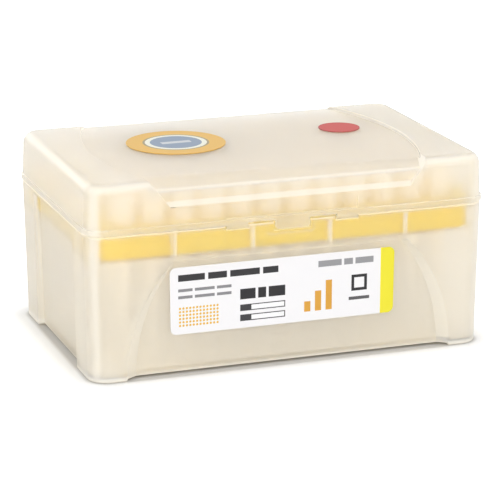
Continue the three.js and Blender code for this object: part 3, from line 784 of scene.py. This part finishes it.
# %% [markdown]
# ## Print on paper
#
# The label and the stickers are coated paper. A printed picture could be laid on them, but it
# would blur when seen close. So each printed shape is worked out in the material, from the place
# on the paper in millimetres, and stays sharp at any size.

# %% Shapes for print
FIBRE_SIZE = 1.11         # mm, drawn coarser than real paper fibre, which wouldn't show
FIBRE_HEIGHT = 0.05


def paper_place(add):
    """The object's own coordinates in millimetres, as a vector and as its three parts."""
    place = add("TexCoord").outputs["Object"]
    scaled = add("VectorMath", {0: place, "Scale": 1 / MM}, operation="SCALE")
    return scaled, add("SeparateXYZ", {0: scaled}).outputs


def stripes(add, coordinate, ranges):
    """1 where the coordinate lies in one of the ranges: its distance from the middle of a range is
    at most half the range's width."""
    total = None
    for low, high in ranges:
        test = {0: coordinate, 1: (low + high) / 2, 2: (high - low) / 2}
        hit = add("Math", test, operation="COMPARE")
        total = hit if total is None else add("Math", {0: total, 1: hit}, operation="MAXIMUM")
    return total


def blocks(add, across, up, columns, rows):
    """Rectangles where a range across meets a range up."""
    both = {0: stripes(add, across, columns), 1: stripes(add, up, rows)}
    return add("Math", both, operation="MULTIPLY")


def ink(add, under, mask, colour):
    """Lays a flat ink over the colour under it, where the mask is 1."""
    layers = {0: mask, 6: under, 7: linear(colour)}
    return add("Mix", layers, data_type="RGBA").outputs[2]


def coated_paper(add, colour):
    """Ends a material as coated paper: the print, under a low sheen with a faint fibre bump."""
    place = add("TexCoord").outputs["Object"]
    fibre = add("TexNoise", {"Vector": place, "Scale": 1 / (FIBRE_SIZE * MM), "Detail": 3.0})
    bump = add("Bump", {"Height": fibre, "Strength": 0.08, "Distance": FIBRE_HEIGHT * MM})
    sheet = add("BsdfPrincipled", {"Base Color": colour, "Roughness": 0.5, "Normal": bump})
    add("OutputMaterial", {"Surface": sheet})


def dress(node, material):
    """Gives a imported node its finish."""
    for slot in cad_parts[node].material_slots:
        slot.material = material
    print(node, "is finished in", material.name)


# %% [markdown]
# ## Front label
#
# The label has a plain generic print: bars in place of words, a dotted plan of the rack, two
# empty fields to write in, three rising bars, a small square and a yellow end. Most of it is
# rectangles, so one list gives the ranges across and up, in millimetres, and the ink of each
# step, in the order in which they are laid. The plan is one dot, repeated by the fraction of the
# place.

# %% Front label
LABEL_WHITE = "#f7f6f8"
BLACK_INK = "#232226"
AMBER_INK = "#e0a43c"
LABEL_PRINT = [  # ranges across, ranges up, ink
    ([(-34.6, -26.4), (-25.4, -19.6), (-18.6, -9.4), (-8.4, -3.6)], [(28.2, 30.2)], "#2c2b2e"),
    ([(-34.6, -30.2), (-29.5, -23.4), (-22.7, -18.2)], [(25.0, 25.9), (22.9, 23.8)], "#8b8b8e"),
    ([(-15.5, -10.7), (-9.9, -7.4), (-6.6, -1.4)], [(20.9, 24.1)], BLACK_INK),
    ([(-15.5, -1.4)], [(17.3, 19.3), (14.2, 16.2)], "#3b3a3d"),
    ([(-12.0, -1.7)], [(17.6, 19.0), (14.5, 15.9)], "#fbfbfc"),
    ([(9.0, 16.4), (17.2, 20.0), (20.8, 26.6)], [(28.4, 30.3)], "#9a9a9d"),
    ([(4.6, 6.6)], [(15.0, 18.2)], AMBER_INK),
    ([(8.0, 10.0)], [(15.0, 21.2)], AMBER_INK),
    ([(11.4, 13.4)], [(15.0, 24.2)], AMBER_INK),
    ([(19.6, 24.6)], [(20.0, 25.0)], BLACK_INK),
    ([(20.5, 23.7)], [(20.9, 24.1)], LABEL_WHITE),
    ([(18.8, 25.4)], [(17.2, 18.2)], "#5a595c"),
]
PLAN_X = -34.6
PLAN_Z = 14.2
PLAN_PITCH = 1.05
PLAN_DOT = 0.34           # radius of a dot, as a share of the pitch
PLAN_ROWS = 6
YELLOW_END = (28.9, 40.0)


def rack_plan(add, place, x, z):
    """Dots on a square grid: the place, counted in pitches from the plan's corner, keeps only its
    fraction, and a dot is where this is near the middle of its square."""
    cell = add("VectorMath", {0: place, 1: (PLAN_X, 0.0, PLAN_Z)}, operation="SUBTRACT")
    cell = add("VectorMath", {0: cell, "Scale": 1 / PLAN_PITCH}, operation="SCALE")
    cell = add("VectorMath", {0: cell}, operation="FRACTION")
    cell = add("VectorMath", {0: cell, 1: (1.0, 0.0, 1.0)}, operation="MULTIPLY")
    off = add("VectorMath", {0: cell, 1: (0.5, 0.0, 0.5)}, operation="DISTANCE").outputs["Value"]
    dots = add("Math", {0: off, 1: PLAN_DOT}, operation="LESS_THAN")
    width = COLUMNS * PLAN_PITCH
    height = PLAN_ROWS * PLAN_PITCH
    field = blocks(add, x, z, [(PLAN_X, PLAN_X + width)], [(PLAN_Z, PLAN_Z + height)])
    return add("Math", {0: dots, 1: field}, operation="MULTIPLY")


def front_label_paper():
    """White coated paper with a plain print, which gives the eye crisp dark shapes on white."""
    material, add = new_material("coated_label_paper")
    place, (x, _, z) = paper_place(add)
    printed = linear(LABEL_WHITE)
    for across, up, colour in LABEL_PRINT:
        printed = ink(add, printed, blocks(add, x, z, across, up), colour)
    printed = ink(add, printed, rack_plan(add, place, x, z), "#e9b93f")
    printed = ink(add, printed, stripes(add, x, [YELLOW_END]), "#f2e72e")
    coated_paper(add, printed)
    return material


dress("front_label", front_label_paper())

# %% [markdown]
# ## Sticker and dot
#
# The round sticker is printed in rings: orange, a thin grey line, white, and a blue-grey middle
# with a pale bar where words would go. The dot is a plain red inspection sticker. A ring is a
# test on the distance from the middle, read off a colour ramp with hard steps.

# %% Round stickers
def ringed_paper(name, node, rings, bar=None):
    """Rings by distance from the node's middle: each (radius in mm, colour) holds out to its
    radius. A bar, if there is one, is ((width, height), colour) across the middle."""
    material, add = new_material(name)
    low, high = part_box(node)
    middle = [(a + b) / 2 / MM for a, b in zip(low, high)]
    radius = (high[0] - low[0]) / 2 / MM
    place, (x, y, _) = paper_place(add)
    flat = add("VectorMath", {0: place, 1: (1.0, 1.0, 0.0)}, operation="MULTIPLY")
    centre = (middle[0], middle[1], 0.0)
    away = add("VectorMath", {0: flat, 1: centre}, operation="DISTANCE").outputs["Value"]
    share = add("Math", {0: away, 1: radius}, operation="DIVIDE")
    ramp = add("ValToRGB", {"Fac": share})
    ramp.color_ramp.interpolation = "CONSTANT"
    steps = ramp.color_ramp.elements
    steps[1].position = 1.0
    start = 0.0
    for number, (reach, colour) in enumerate(rings):
        step = steps[0] if number == 0 else steps.new(start)
        step.color = linear(colour)
        start = reach / radius
    steps[-1].color = linear(rings[-1][1])
    printed = ramp.outputs["Color"]
    if bar:
        (width, height), bar_colour = bar
        across = (middle[0] - width / 2, middle[0] + width / 2)
        up = (middle[1] - height / 2, middle[1] + height / 2)
        printed = ink(add, printed, blocks(add, x, y, [across], [up]), bar_colour)
    coated_paper(add, printed)
    return material


STICKER_RINGS = [(7.9, "#8d9db2"), (9.5, "#f1f1e2"), (10.2, "#a89a78"), (16.0, "#e9bb5e")]
STICKER_BAR = ((9.4, 2.6), "#cfd3d6")
DOT_RINGS = [(6.1, "#cb4a45"), (6.5, "#b84c48")]
sticker_paper = ringed_paper("printed_sticker_paper", "lid_sticker", STICKER_RINGS, STICKER_BAR)
dress("lid_sticker", sticker_paper)
dress("lid_dot", ringed_paper("red_sticker_paper", "lid_dot", DOT_RINGS))

# %% [markdown]
# ## Look
#
# Plain colours should come out as they were chosen, so the view is the standard one and not the
# filmic default.

# %% Look
bpy.context.scene.view_settings.view_transform = "Standard"
